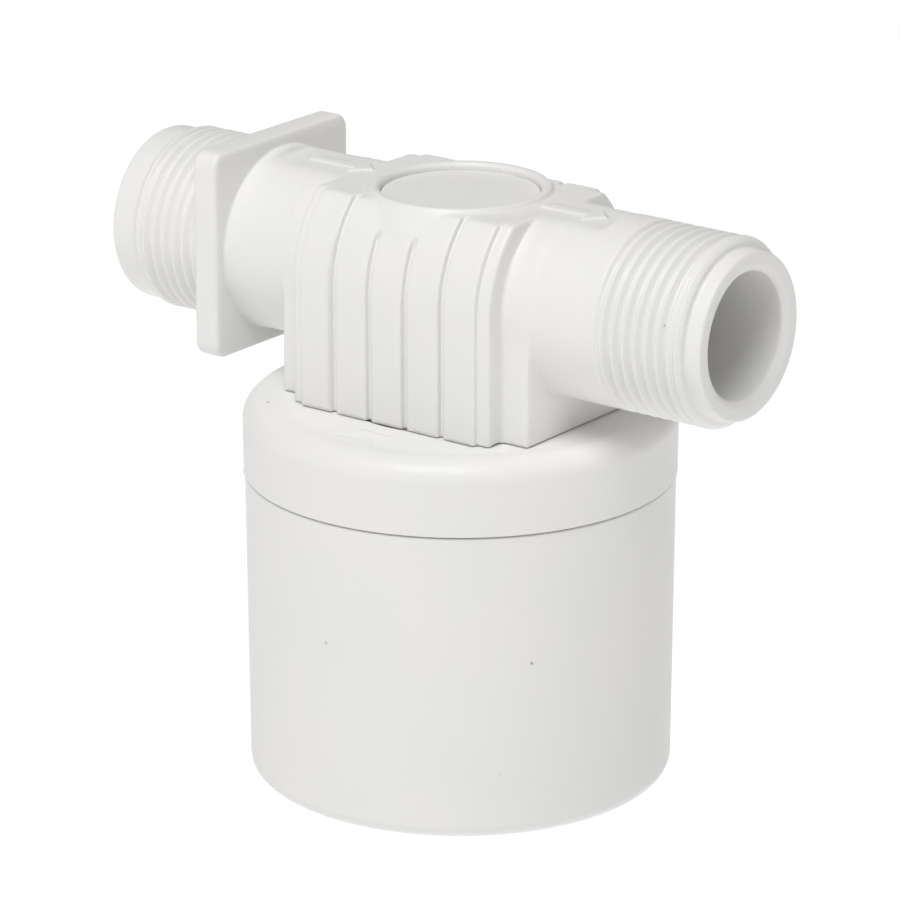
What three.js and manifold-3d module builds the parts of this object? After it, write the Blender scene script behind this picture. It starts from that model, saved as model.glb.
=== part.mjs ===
// Float valve for a water tank: an in-line body with two G 3/4 male ends, and a sliding drum float below.
// The float works a small pilot lever, and the pilot opens or shuts the main piston inside the body.
// Millimetres, +Z up. Water flows along +X. The origin is the centre of the float's flat base.
import * as THREE from "three";
import { mergeVertices } from "three/addons/utils/BufferGeometryUtils.js";
import Module from "manifold-3d";

const wasm = await Module();
wasm.setup();

// ---- Driving dimensions ----

const GAP = 0.3; // clearance between neighbouring pieces
const THIN = 0.1; // clearance at seals and seats
const ROUND = 32; // sides of a turned piece
const DRUM_ROUND = 40; // sides of the float's outer pieces
const SMALL = 16; // sides of a small turned piece
const ARC_STEPS = 4; // half the sides of one small arc in an extruded outline

// Threaded pipe, G 3/4
const PIPE_Z = 72.55;
const THREAD_R = 13.22;
const THREAD_ROOT_R = 12.06;
const THREAD_PITCH = 1.814;
// A plain lip at each end, then the thread: firstGroove is from the end face to the nearest groove.
const INLET = { lipR: 12.6, lipLength: 4.2, firstGroove: 6.114, turns: 6 };
const OUTLET = { lipR: 11.7, lipLength: 2.4, firstGroove: 4.3, turns: 7 };
const WATERWAY_R = 8.9;
const MOUTH_R = 9.7;
const INLET_X = -53;
const OUTLET_X = 48.3;

// Square flange behind the inlet thread
const FLANGE_X = -35.9;
const FLANGE_THICKNESS = 4.2;
const FLANGE_HALF = 15;
const FLANGE_CORNER_R = 2;

// Ribbed block between the pipe and the float
const BLOCK_BASE_Z = 55.15;
const STEPS = [
  { halfLength: 21.3, halfWidth: 13.2 },
  { halfLength: 17, halfWidth: 16.2 },
];
const RIB_HALF_WIDTH = 17;
const RIB_PITCH = 6.2;
const RIB_GROOVE = 0.85;
const RIB_COUNT = 5;
const PLATEAU_Z = 84.9; // the flat that cuts the top of the pipe and of the ribs
const PLATEAU_X = [-30.2, 27.5];

// Boss and cover on top
const BOSS_TOP_Z = 85.5;
const BOSS_TOP_R = 12.6;
const BOSS_FOOT_R = 14.8;
const BOSS_FOOT_Z = 81.5;
const RECESS_R = 11.2;
const RECESS_FLOOR_Z = 82.2;
const CAP_TOP_Z = 84.5;

// Main valve inside the body, on the Z axis
const SKIRT_R = 16.2;
const SKIRT_END_Z = 43.5;
const CYLINDER_R = 12;
const CYLINDER_TOP_Z = 69.4;
const SEAT_Z = 61;
const SEAT_R = 5.8;
const SEAT_TUBE_R = 7.5;
const DUCT_R = 5;
const DUCT_Z = 76.4;
const INLET_END_X = -9.5;
const OUTLET_START_X = 15;

// Pilot cover and lever below the main valve
const COVER_R = 15.9;
const COVER_Z = 40.2;
const COVER_THICKNESS = 2.8;
const SPIGOT_TOP_Z = 44.4;
const SCREW_CIRCLE_R = 13.9;
const PIVOT = { x: -8, z: 35.5 };
const NOZZLE_X = -3;
const NOZZLE_TIP_Z = 36.9;
const LINK_X = 8;
const LEVER_HALF_WIDTH = 3;
const PIN_R = 0.9;
const PIN_HOLE_R = 1.1;

// Float
const LID_R = 30.5;
const LID_TOP_Z = 54.85;
const SEAM_Z = 44.3;
const CUP_TOP_R = 30.3;
const CUP_BASE_R = 29.95;
const FLOAT_TRAVEL = 5;
const LIP_INNER_R = 16.7;
const WELL_R = 18.9;
const WELL_WALL = 1.5;
const WELL_FLOOR_Z = 24.6;
const STOP_RING_Z = 44.8;
const STOP_RING_THICKNESS = 1.1;

// ---- Materials ----

const whitePlastic = new THREE.MeshStandardMaterial({ color: 0xeeeeea, roughness: 0.42, metalness: 0 });
const greyPlastic = new THREE.MeshStandardMaterial({ color: 0xcfd2d3, roughness: 0.5, metalness: 0 });
const rubber = new THREE.MeshStandardMaterial({ color: 0x26282a, roughness: 0.8, metalness: 0 });
const steel = new THREE.MeshStandardMaterial({ color: 0xb9bcc0, roughness: 0.3, metalness: 1 });
const brass = new THREE.MeshStandardMaterial({ color: 0xc9a45c, roughness: 0.3, metalness: 1 });

// ---- Solids ----

// A closed geometry as a solid, with shared vertices merged and collapsed triangles dropped.
function solidOf(geometry) {
  const bare = new THREE.BufferGeometry();
  bare.setAttribute("position", geometry.getAttribute("position"));
  bare.setIndex(geometry.index);
  const merged = mergeVertices(bare, 1e-4);
  const index = merged.index.array;
  const kept = [];
  for (let i = 0; i < index.length; i += 3) {
    const [a, b, c] = index.slice(i, i + 3);
    if (a !== b && b !== c && c !== a) kept.push(a, b, c);
  }
  const vertProperties = merged.attributes.position.array;
  return new wasm.Manifold(new wasm.Mesh({ numProp: 3, vertProperties, triVerts: new Uint32Array(kept) }));
}

function geometryOf(solid) {
  const mesh = solid.getMesh();
  const geometry = new THREE.BufferGeometry();
  geometry.setAttribute("position", new THREE.BufferAttribute(mesh.vertProperties, 3));
  geometry.setIndex(new THREE.BufferAttribute(mesh.triVerts, 1));
  const flat = geometry.toNonIndexed();
  flat.computeVertexNormals();
  return flat;
}

const union = (solids) => solids.reduce((whole, solid) => whole.add(solid));
const cut = (solid, tools) => tools.reduce((left, tool) => left.subtract(tool), solid);

// Profiles are [radius, height] pairs. One that doesn't start on the axis is closed into a ring.
function turned(profile, segments) {
  const onAxis = profile[0][0] === 0;
  const loop = onAxis ? profile : [...profile, profile[0]];
  let doubleArea = 0;
  loop.forEach(([r, h], i) => {
    const [nextR, nextH] = loop[(i + 1) % loop.length];
    doubleArea += r * nextH - nextR * h;
  });
  const outward = doubleArea > 0 ? loop : [...loop].reverse();
  const points = outward.map(([r, h]) => new THREE.Vector2(r, h));
  return new THREE.LatheGeometry(points, segments);
}

const turnedZ = (profile, segments = ROUND) => solidOf(turned(profile, segments).rotateX(Math.PI / 2));
const turnedX = (profile, segments = ROUND) => solidOf(turned(profile, segments).rotateZ(-Math.PI / 2));
const turnedY = (profile, segments = SMALL) => solidOf(turned(profile, segments));

// A plain rod between two heights, as a profile.
const rod = (radius, low, high) => [[0, low], [radius, low], [radius, high], [0, high]];
const ring = (inner, outer, low, high) => [[inner, low], [outer, low], [outer, high], [inner, high]];

function extruded(shape, depth, curveSegments = ARC_STEPS) {
  return new THREE.ExtrudeGeometry(shape, { depth, bevelEnabled: false, curveSegments });
}

// A shape drawn in X and Y, between two heights.
function slabZ(shape, low, high, curveSegments) {
  return solidOf(extruded(shape, high - low, curveSegments).translate(0, 0, low));
}

// A shape drawn in Y and Z, between two places along X.
function slabX(shape, start, end, curveSegments) {
  const geometry = extruded(shape, end - start, curveSegments);
  return solidOf(geometry.rotateX(Math.PI / 2).rotateZ(Math.PI / 2).translate(start, 0, 0));
}

// A shape drawn in X and Z, between two places along Y.
function slabY(shape, start, end) {
  return solidOf(extruded(shape, end - start).rotateX(Math.PI / 2).translate(0, end, 0));
}

function block([x0, y0, z0], [x1, y1, z1]) {
  const geometry = new THREE.BoxGeometry(x1 - x0, y1 - y0, z1 - z0);
  return solidOf(geometry.translate((x0 + x1) / 2, (y0 + y1) / 2, (z0 + z1) / 2));
}

function roundedRectangle(halfWidth, halfHeight, radius) {
  const w = halfWidth - radius;
  const h = halfHeight - radius;
  const shape = new THREE.Shape();
  shape.absarc(w, h, radius, 0, Math.PI / 2);
  shape.absarc(-w, h, radius, Math.PI / 2, Math.PI);
  shape.absarc(-w, -h, radius, Math.PI, Math.PI * 1.5);
  shape.absarc(w, -h, radius, Math.PI * 1.5, Math.PI * 2);
  return shape;
}

function quarterArc(centreR, centreZ, radius, startAngle, endAngle, steps = 3) {
  return Array.from({ length: steps + 1 }, (_, i) => {
    const angle = startAngle + ((endAngle - startAngle) * i) / steps;
    return [centreR + radius * Math.cos(angle), centreZ + radius * Math.sin(angle)];
  });
}

const screwAngles = [1, 3, 5, 7].map((eighth) => (eighth * Math.PI) / 4);
const aroundScrewCircle = (solid) =>
  screwAngles.map((angle) =>
    solid.translate(SCREW_CIRCLE_R * Math.cos(angle), SCREW_CIRCLE_R * Math.sin(angle), 0),
  );

// ---- Valve body ----

// Outside of the pipe from the inlet end to the outlet end, with the grooves of both threads.
function pipeProfile() {
  const flank = THREAD_PITCH * 0.42;
  const end = (faceX, towards, { lipR, lipLength, firstGroove, turns }) => {
    const along = (distance) => faceX + towards * distance;
    const points = [
      [lipR - 0.4, along(0)],
      [lipR, along(0.4)],
      [lipR, along(lipLength)],
      [THREAD_R, along(lipLength + 0.7)],
    ];
    for (let turn = 0; turn < turns; turn += 1) {
      const groove = firstGroove + turn * THREAD_PITCH;
      points.push([THREAD_R, along(groove - flank)]);
      points.push([THREAD_ROOT_R, along(groove)]);
      points.push([THREAD_R, along(groove + flank)]);
    }
    return points;
  };
  const inlet = end(INLET_X, 1, INLET);
  const outlet = end(OUTLET_X, -1, OUTLET).reverse();
  return [[0, INLET_X], ...inlet, ...outlet, [0, OUTLET_X]];
}

const ARCH_STEPS = 9;

// Straight sides below the pipe's axis and a half round above it.
function archShape(halfWidth) {
  const shape = new THREE.Shape();
  shape.moveTo(-halfWidth, BLOCK_BASE_Z);
  shape.lineTo(halfWidth, BLOCK_BASE_Z);
  shape.lineTo(halfWidth, PIPE_Z);
  shape.absarc(0, PIPE_Z, halfWidth, 0, Math.PI);
  return shape;
}

function ribbedBlock() {
  const steps = STEPS.map(({ halfLength, halfWidth }) =>
    slabX(archShape(halfWidth), -halfLength, halfLength, ARCH_STEPS),
  );
  const ribs = [];
  for (let i = 0; i < RIB_COUNT; i += 1) {
    const centre = (i - (RIB_COUNT - 1) / 2) * RIB_PITCH;
    const half = (RIB_PITCH - RIB_GROOVE) / 2;
    ribs.push(slabX(archShape(RIB_HALF_WIDTH), centre - half, centre + half, ARCH_STEPS));
  }
  return union([...steps, ...ribs]);
}

// A flow arrow on the plateau, pointing along +X: a shaft and a head, slightly raised.
function flowArrow(tailX, neckX, tipX) {
  const shaft = 1;
  const head = 2.7;
  const shape = new THREE.Shape();
  shape.moveTo(tailX, -shaft);
  shape.lineTo(neckX, -shaft);
  shape.lineTo(neckX, -head);
  shape.lineTo(tipX, 0);
  shape.lineTo(neckX, head);
  shape.lineTo(neckX, shaft);
  shape.lineTo(tailX, shaft);
  return slabZ(shape, PLATEAU_Z - 0.5, PLATEAU_Z + 0.3);
}

function valveBody() {
  const pipe = turnedX(pipeProfile()).translate(0, 0, PIPE_Z);
  const [flatStart, flatEnd] = PLATEAU_X;
  const above = block([flatStart, -20, PLATEAU_Z], [flatEnd, 20, PLATEAU_Z + 10]);
  const flattened = pipe.add(ribbedBlock()).subtract(above);
  const flangeShape = roundedRectangle(FLANGE_HALF, FLANGE_HALF, FLANGE_CORNER_R);
  const flange = slabX(flangeShape, FLANGE_X, FLANGE_X + FLANGE_THICKNESS).translate(0, 0, PIPE_Z);
  const boss = turnedZ([
    [0, PLATEAU_Z - 8],
    [BOSS_FOOT_R, PLATEAU_Z - 8],
    [BOSS_FOOT_R, BOSS_FOOT_Z],
    [BOSS_TOP_R, BOSS_TOP_Z - 0.3],
    [BOSS_TOP_R - 0.3, BOSS_TOP_Z],
    [0, BOSS_TOP_Z],
  ]);
  const skirt = turnedZ(rod(SKIRT_R, SKIRT_END_Z, BLOCK_BASE_Z + 2));
  const outside = union([
    flattened,
    flange,
    boss,
    skirt,
    flowArrow(14.2, 22.3, 24.9),
    flowArrow(-26, -18, -15.2),
  ]);

  const inletWay = turnedX([
    [0, INLET_X - 1],
    [MOUTH_R, INLET_X - 1],
    [MOUTH_R, INLET_X + 2.5],
    [WATERWAY_R, INLET_X + 2.5],
    [WATERWAY_R, INLET_END_X],
    [0, INLET_END_X],
  ]).translate(0, 0, PIPE_Z);
  const outletWay = turnedX([
    [0, OUTLET_START_X],
    [WATERWAY_R, OUTLET_START_X],
    [WATERWAY_R, OUTLET_X - 0.8],
    [MOUTH_R, OUTLET_X],
    [MOUTH_R, OUTLET_X + 1],
    [0, OUTLET_X + 1],
  ]).translate(0, 0, PIPE_Z);
  const duct = turnedX(rod(DUCT_R, 0, OUTLET_START_X + 1), SMALL).translate(0, 0, DUCT_Z);
  const cylinder = turnedZ([
    [0, SKIRT_END_Z - 1],
    [CYLINDER_R, SKIRT_END_Z - 1],
    [CYLINDER_R, CYLINDER_TOP_Z],
    [SEAT_TUBE_R, CYLINDER_TOP_Z],
    [SEAT_TUBE_R, SEAT_Z],
    [0, SEAT_Z],
  ]);
  const seatBore = turnedZ(rod(SEAT_R, SEAT_Z - 1, RECESS_FLOOR_Z + 1), SMALL);
  const recess = turnedZ([
    [0, RECESS_FLOOR_Z],
    [RECESS_R, RECESS_FLOOR_Z],
    [RECESS_R, BOSS_TOP_Z - 0.3],
    [RECESS_R + 0.6, BOSS_TOP_Z + 0.3],
    [RECESS_R + 0.6, BOSS_TOP_Z + 1],
    [0, BOSS_TOP_Z + 1],
  ]);
  const stopGroove = turnedZ(
    ring(SKIRT_R - 0.7, SKIRT_R + 1, STOP_RING_Z - 0.2, STOP_RING_Z + STOP_RING_THICKNESS + GAP),
  );
  const screwHoles = aroundScrewCircle(turnedZ(rod(1.2, SKIRT_END_Z - 1, SKIRT_END_Z + 6.5), 10));
  return cut(outside, [
    inletWay,
    outletWay,
    duct,
    cylinder,
    seatBore,
    recess,
    stopGroove,
    ...screwHoles,
  ]);
}

// ---- Pieces fixed to the body ----

const SEAL_GROOVE = { inner: 7, outer: 9, depth: 1.1 };

function topCover() {
  const underside = RECESS_FLOOR_Z + GAP;
  const disc = turnedZ([
    [0, underside - 2.4],
    [SEAT_R - GAP, underside - 2.4],
    [SEAT_R - GAP, underside],
    [RECESS_R - GAP, underside],
    [RECESS_R - GAP, CAP_TOP_Z - 0.3],
    [RECESS_R - GAP - 0.3, CAP_TOP_Z],
    [0, CAP_TOP_Z],
  ]);
  const groove = ring(SEAL_GROOVE.inner, SEAL_GROOVE.outer, underside - 1, underside + SEAL_GROOVE.depth);
  return disc.subtract(turnedZ(groove));
}

function topCoverSeal() {
  const low = RECESS_FLOOR_Z + THIN;
  const inner = SEAL_GROOVE.inner + 0.2;
  const outer = SEAL_GROOVE.outer - 0.2;
  return turnedZ(ring(inner, outer, low, RECESS_FLOOR_Z + GAP + SEAL_GROOVE.depth - THIN));
}

// A slotted basket whose rim sits in the step of the inlet mouth.
function inletStrainer() {
  const rimX = INLET_X + 1.1;
  const ledgeX = INLET_X + 2.5 - THIN;
  const endX = INLET_X + 15;
  const outer = 7;
  const inner = 6.2;
  const basket = turnedX([
    [0, endX],
    [outer - 0.8, endX],
    [outer, endX - 0.8],
    [outer, ledgeX],
    [MOUTH_R - GAP, ledgeX],
    [MOUTH_R - GAP, rimX],
    [inner, rimX],
    [inner, endX - 0.8],
    [0, endX - 0.8],
  ], 24);
  const slots = [0, 1, 2, 3].map((i) =>
    block([ledgeX + 1.2, -9, -0.8], [endX - 2, 9, 0.8]).rotate([i * 45, 0, 0]),
  );
  return cut(basket, slots).translate(0, 0, PIPE_Z);
}

function pilotCover() {
  const disc = turnedZ([
    [0, COVER_Z],
    [COVER_R, COVER_Z],
    [COVER_R, COVER_Z + COVER_THICKNESS],
    [CYLINDER_R - GAP, COVER_Z + COVER_THICKNESS],
    [CYLINDER_R - GAP, SPIGOT_TOP_Z],
    [0, SPIGOT_TOP_Z],
  ]);
  const nozzleBoss = turnedZ(rod(3.2, COVER_Z - 2.6, COVER_Z + 1), SMALL).translate(NOZZLE_X, 0, 0);
  const ear = new THREE.Shape();
  ear.moveTo(PIVOT.x + 2.2, PIVOT.z);
  ear.lineTo(PIVOT.x + 2.2, COVER_Z + 1);
  ear.lineTo(PIVOT.x - 2.2, COVER_Z + 1);
  ear.lineTo(PIVOT.x - 2.2, PIVOT.z);
  ear.absarc(PIVOT.x, PIVOT.z, 2.2, Math.PI, Math.PI * 2);
  const inner = LEVER_HALF_WIDTH + GAP;
  const ears = [slabY(ear, inner, inner + 1.7), slabY(ear, -inner - 1.7, -inner)];
  const pinHole = turnedY(rod(PIN_HOLE_R, -9, 9)).translate(PIVOT.x, 0, PIVOT.z);
  const nozzleHole = turnedZ(rod(1.8, COVER_Z - 4, SPIGOT_TOP_Z + 1), SMALL).translate(NOZZLE_X, 0, 0);
  const screwHoles = aroundScrewCircle(turnedZ(rod(1.5, COVER_Z - 1, COVER_Z + 4), 12));
  return cut(union([disc, nozzleBoss, ...ears]), [pinHole, nozzleHole, ...screwHoles]);
}

function pilotCoverGasket() {
  const low = COVER_Z + COVER_THICKNESS + THIN;
  const flat = turnedZ(ring(CYLINDER_R + GAP, COVER_R, low, SKIRT_END_Z - THIN));
  return cut(flat, aroundScrewCircle(turnedZ(rod(1.5, low - 1, low + 2), 12)));
}

// Pan head, with its underside at height 0 and the shank pointing up.
function coverScrew() {
  const screw = turnedZ([
    [0, -1.4],
    [1.6, -1.4],
    [2.2, -0.8],
    [2.2, 0],
    [0.95, 0],
    [0.95, 7.6],
    [0, 8.6],
  ], SMALL);
  const slot = block([-3, -0.35, -2], [3, 0.35, -0.8]);
  return screw.subtract(slot);
}

// A turned jet with a flanged head above the cover and a tapered tip below it.
function pilotNozzle() {
  const orifice = 0.4;
  return turnedZ([
    [orifice, NOZZLE_TIP_Z],
    [0.9, NOZZLE_TIP_Z],
    [1.5, COVER_Z - 2.4],
    [1.5, SPIGOT_TOP_Z + THIN],
    [2.6, SPIGOT_TOP_Z + THIN],
    [2.6, SPIGOT_TOP_Z + 0.9],
    [orifice, SPIGOT_TOP_Z + 0.9],
  ], SMALL).translate(NOZZLE_X, 0, 0);
}

// Headed pin along Y, used for the lever's pivot and for its link to the float.
function headedPin() {
  return turnedY([
    [0, -6.1],
    [1.5, -6.1],
    [1.5, -5.4],
    [PIN_R, -5.4],
    [PIN_R, 5.3],
    [PIN_R - 0.3, 5.6],
    [0, 5.6],
  ]);
}

// An open snap ring in the groove of the skirt: the float's lip lands on it.
function floatRetainingRing() {
  const opening = Math.PI / 10;
  const shape = new THREE.Shape();
  shape.absarc(0, 0, WELL_R - 0.7, opening, Math.PI * 2 - opening, false);
  shape.absarc(0, 0, SKIRT_R - 0.55, Math.PI * 2 - opening, opening, true);
  return slabZ(shape, STOP_RING_Z, STOP_RING_Z + STOP_RING_THICKNESS, 12);
}

// ---- Pilot lever, drawn about its pivot ----

const PAD_X = NOZZLE_X - PIVOT.x;
const LINK_ARM = LINK_X - PIVOT.x;

function pilotLever() {
  const barTop = 0.9;
  const barBottom = -1.2;
  const hub = 2;
  const eyeHalf = 2.2;
  const slotEnd = LINK_ARM + 0.76;
  const slotHalf = PIN_R + 0.25;
  const shape = new THREE.Shape();
  shape.absarc(0, 0, hub, Math.asin(barTop / hub), Math.PI * 2 + Math.asin(barBottom / hub), false);
  shape.lineTo(LINK_ARM - 3.4, barBottom);
  shape.lineTo(LINK_ARM - 2.2, -eyeHalf);
  shape.absarc(slotEnd, 0, eyeHalf, -Math.PI / 2, Math.PI / 2, false);
  shape.lineTo(LINK_ARM - 2.2, eyeHalf);
  shape.lineTo(LINK_ARM - 3.4, barTop);
  const pivotHole = new THREE.Path();
  pivotHole.absarc(0, 0, PIN_HOLE_R, 0, Math.PI * 2, true);
  const slot = new THREE.Path();
  slot.absarc(LINK_ARM, 0, slotHalf, -Math.PI / 2, Math.PI / 2, true);
  slot.absarc(slotEnd, 0, slotHalf, Math.PI / 2, -Math.PI / 2, true);
  shape.holes.push(pivotHole, slot);
  const bar = slabY(shape, -LEVER_HALF_WIDTH, LEVER_HALF_WIDTH);
  const pocket = turnedZ(rod(2, barBottom + 0.9, barTop + 1), SMALL).translate(PAD_X, 0, 0);
  return bar.subtract(pocket);
}

function pilotSeal() {
  return turnedZ(rod(1.8, -0.2, NOZZLE_TIP_Z - PIVOT.z - THIN), SMALL);
}

// ---- Main piston and its pieces, on the Z axis ----

const PISTON = { bottom: 52, pocketTop: 57, recessZ: 59.1, top: 60.4 };
const CUP_GROOVE = { r: 10.2, low: 53.6, high: 56.4 };
const SPRING_POCKET_R = 8.4;

function mainPiston() {
  const r = CYLINDER_R - GAP;
  const body = turnedZ([
    [0, PISTON.pocketTop],
    [SPRING_POCKET_R, PISTON.pocketTop],
    [SPRING_POCKET_R, PISTON.bottom],
    [r, PISTON.bottom],
    [r, CUP_GROOVE.low],
    [CUP_GROOVE.r, CUP_GROOVE.low],
    [CUP_GROOVE.r, CUP_GROOVE.high],
    [r, CUP_GROOVE.high],
    [r, PISTON.top - 0.5],
    [r - 0.5, PISTON.top],
    [8.5, PISTON.top],
    [8.5, PISTON.recessZ],
    [0, PISTON.recessZ],
  ]);
  const stemHole = turnedZ(rod(1.5, PISTON.pocketTop - 1, PISTON.top), SMALL);
  const bleedHole = turnedZ(rod(0.4, PISTON.bottom - 1, PISTON.top + 1), 8).translate(9.3, 0, 0);
  return cut(body, [stemHole, bleedHole]);
}

// A ring with a lip that opens downwards, towards the pressure of the pilot chamber.
function pistonCupSeal() {
  const inner = CUP_GROOVE.r + 0.15;
  const outer = CYLINDER_R - THIN;
  const low = CUP_GROOVE.low + 0.15;
  const high = CUP_GROOVE.high - 0.15;
  return turnedZ([
    [inner, low],
    [inner + 0.45, low],
    [(inner + outer) / 2, high - 1],
    [outer - 0.45, low],
    [outer, low],
    [outer - 0.2, high],
    [inner, high],
  ]);
}

function seatWasher() {
  return turnedZ(ring(3, 8.2, PISTON.recessZ + THIN, SEAT_Z - THIN));
}

function washerRetainer() {
  return turnedZ([
    [0, PISTON.pocketTop - 1.4],
    [1.2, PISTON.pocketTop - 1.2],
    [1.2, PISTON.recessZ + THIN],
    [2.7, PISTON.recessZ + THIN],
    [2.7, SEAT_Z],
    [4.8, SEAT_Z],
    [4.4, SEAT_Z + 1.2],
    [0, SEAT_Z + 1.8],
  ], SMALL);
}

class Helix extends THREE.Curve {
  constructor(radius, low, high, turns) {
    super();
    Object.assign(this, { radius, low, high, turns });
  }

  getPoint(t, target = new THREE.Vector3()) {
    const angle = t * this.turns * Math.PI * 2;
    const height = this.low + (this.high - this.low) * t;
    return target.set(this.radius * Math.cos(angle), this.radius * Math.sin(angle), height);
  }
}

function mainSpring() {
  const wire = 0.45;
  const turns = 5;
  const low = SPIGOT_TOP_Z + wire + THIN;
  const high = PISTON.pocketTop - wire - THIN;
  const section = new THREE.Shape();
  section.absarc(0, 0, wire, 0, Math.PI * 2);
  return new THREE.ExtrudeGeometry(section, {
    steps: turns * 12,
    curveSegments: 3,
    bevelEnabled: false,
    extrudePath: new Helix(6.9, low, high, turns),
  });
}

// ---- Float ----

const LID_WALL_INNER_R = 29.2;
const CUP_SPIGOT = { inner: 27.9, outer: 28.9, top: 47 };
const LID_UNDERSIDE_Z = 52.65;
const LID_SHOULDER_Z = 48.4;

function floatLid() {
  const fillet = 2.5;
  const lipEnd = STOP_RING_Z + STOP_RING_THICKNESS + FLOAT_TRAVEL + 0.2;
  const collarInner = WELL_R + WELL_WALL + GAP;
  return turnedZ([
    [LIP_INNER_R, lipEnd],
    [WELL_R - GAP, lipEnd],
    [WELL_R - GAP, LID_UNDERSIDE_Z],
    [collarInner, LID_UNDERSIDE_Z],
    [collarInner, LID_UNDERSIDE_Z - 5],
    [collarInner + 1.5, LID_UNDERSIDE_Z - 5],
    [collarInner + 1.5, LID_UNDERSIDE_Z],
    [CUP_SPIGOT.inner, LID_UNDERSIDE_Z],
    [CUP_SPIGOT.inner, LID_SHOULDER_Z],
    [LID_WALL_INNER_R, LID_SHOULDER_Z],
    [LID_WALL_INNER_R, SEAM_Z + 0.25],
    [LID_R, SEAM_Z + 0.25],
    ...quarterArc(LID_R - fillet, LID_TOP_Z - fillet, fillet, 0, Math.PI / 2),
    [LIP_INNER_R + 0.4, LID_TOP_Z],
    [LIP_INNER_R, LID_TOP_Z - 0.4],
  ], DRUM_ROUND);
}

// The inner cup that the body's skirt dips into, with the two arms that hold the link pin.
function floatWell() {
  const outer = WELL_R + WELL_WALL;
  const floor = WELL_FLOOR_Z + 1.6;
  const tube = turnedZ([
    [0, WELL_FLOOR_Z],
    [outer - 1, WELL_FLOOR_Z],
    [outer, WELL_FLOOR_Z + 1],
    [outer, LID_UNDERSIDE_Z - GAP],
    [WELL_R, LID_UNDERSIDE_Z - GAP],
    [WELL_R, floor],
    [0, floor],
  ]);
  const arm = new THREE.Shape();
  arm.moveTo(LINK_X - 2.8, floor - 0.8);
  arm.lineTo(LINK_X + 2.8, floor - 0.8);
  arm.lineTo(LINK_X + 2, PIVOT.z);
  arm.absarc(LINK_X, PIVOT.z, 2, 0, Math.PI);
  const inner = LEVER_HALF_WIDTH + GAP;
  const arms = [slabY(arm, inner, inner + 1.6), slabY(arm, -inner - 1.6, -inner)];
  const pinHole = turnedY(rod(PIN_HOLE_R, -9, 9)).translate(LINK_X, 0, PIVOT.z);
  return union([tube, ...arms]).subtract(pinHole);
}

function floatCup() {
  const fillet = 2.2;
  const floor = 2;
  return turnedZ([
    [0, 0],
    ...quarterArc(CUP_BASE_R - fillet, fillet, fillet, -Math.PI / 2, 0),
    [CUP_TOP_R, SEAM_Z],
    [CUP_SPIGOT.outer, SEAM_Z],
    [CUP_SPIGOT.outer, CUP_SPIGOT.top],
    [CUP_SPIGOT.inner, CUP_SPIGOT.top],
    [CUP_SPIGOT.inner - 0.2, floor + 1.5],
    [CUP_SPIGOT.inner - 1.7, floor],
    [0, floor],
  ], DRUM_ROUND);
}

function floatJointSeal() {
  const outer = LID_WALL_INNER_R - 0.2;
  return turnedZ(ring(CUP_SPIGOT.inner + THIN, outer, CUP_SPIGOT.top + 0.2, LID_SHOULDER_Z - 0.2));
}

// ---- Assembly: one group for each set of pieces that moves together ----

const group = new THREE.Group();
const valve = new THREE.Group();
const float = new THREE.Group();
const lever = new THREE.Group();
const piston = new THREE.Group();
lever.position.set(PIVOT.x, 0, PIVOT.z);
group.add(valve, float, lever, piston);

function add(parent, name, shape, material) {
  const geometry = shape.isBufferGeometry ? shape : geometryOf(shape);
  const mesh = new THREE.Mesh(geometry, material);
  mesh.name = name;
  parent.add(mesh);
  return mesh;
}

add(valve, "valve_body", valveBody(), whitePlastic);
add(valve, "top_cover", topCover(), whitePlastic);
add(valve, "top_cover_seal", topCoverSeal(), rubber);
add(valve, "inlet_strainer", inletStrainer(), greyPlastic);
add(valve, "pilot_cover", pilotCover(), whitePlastic);
add(valve, "pilot_cover_gasket", pilotCoverGasket(), rubber);
add(valve, "pilot_nozzle", pilotNozzle(), brass);
add(valve, "float_retaining_ring", floatRetainingRing(), greyPlastic);
add(valve, "lever_pin", headedPin(), steel).position.set(PIVOT.x, 0, PIVOT.z);

const screwGeometry = geometryOf(coverScrew());
screwAngles.forEach((angle, i) => {
  const screw = add(valve, `cover_screw_${i + 1}`, screwGeometry, steel);
  const x = SCREW_CIRCLE_R * Math.cos(angle);
  const y = SCREW_CIRCLE_R * Math.sin(angle);
  screw.position.set(x, y, COVER_Z - THIN);
});

add(lever, "pilot_lever", pilotLever(), whitePlastic);
add(lever, "pilot_seal", pilotSeal(), rubber).position.set(PAD_X, 0, 0);

add(piston, "main_piston", mainPiston(), whitePlastic);
add(piston, "piston_cup_seal", pistonCupSeal(), rubber);
add(piston, "seat_washer", seatWasher(), rubber);
add(piston, "washer_retainer", washerRetainer(), whitePlastic);
add(piston, "main_spring", mainSpring(), steel);

add(float, "float_lid", floatLid(), whitePlastic);
add(float, "float_well", floatWell(), whitePlastic);
add(float, "float_cup", floatCup(), whitePlastic);
add(float, "float_joint_seal", floatJointSeal(), rubber);
add(float, "link_pin", headedPin(), steel).position.set(LINK_X, 0, PIVOT.z);

export default group;
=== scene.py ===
"""Float valve, the looks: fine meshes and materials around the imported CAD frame.

Moulded pieces are sampled as signed distance fields in millimetres and meshed at a fraction of a
millimetre, so that threads are true helices and every edge has a moulder's radius. Turned pieces are
spun from half sections. Each piece stands for one CAD node and rides on that node's body.
"""

import itertools
import math

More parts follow.
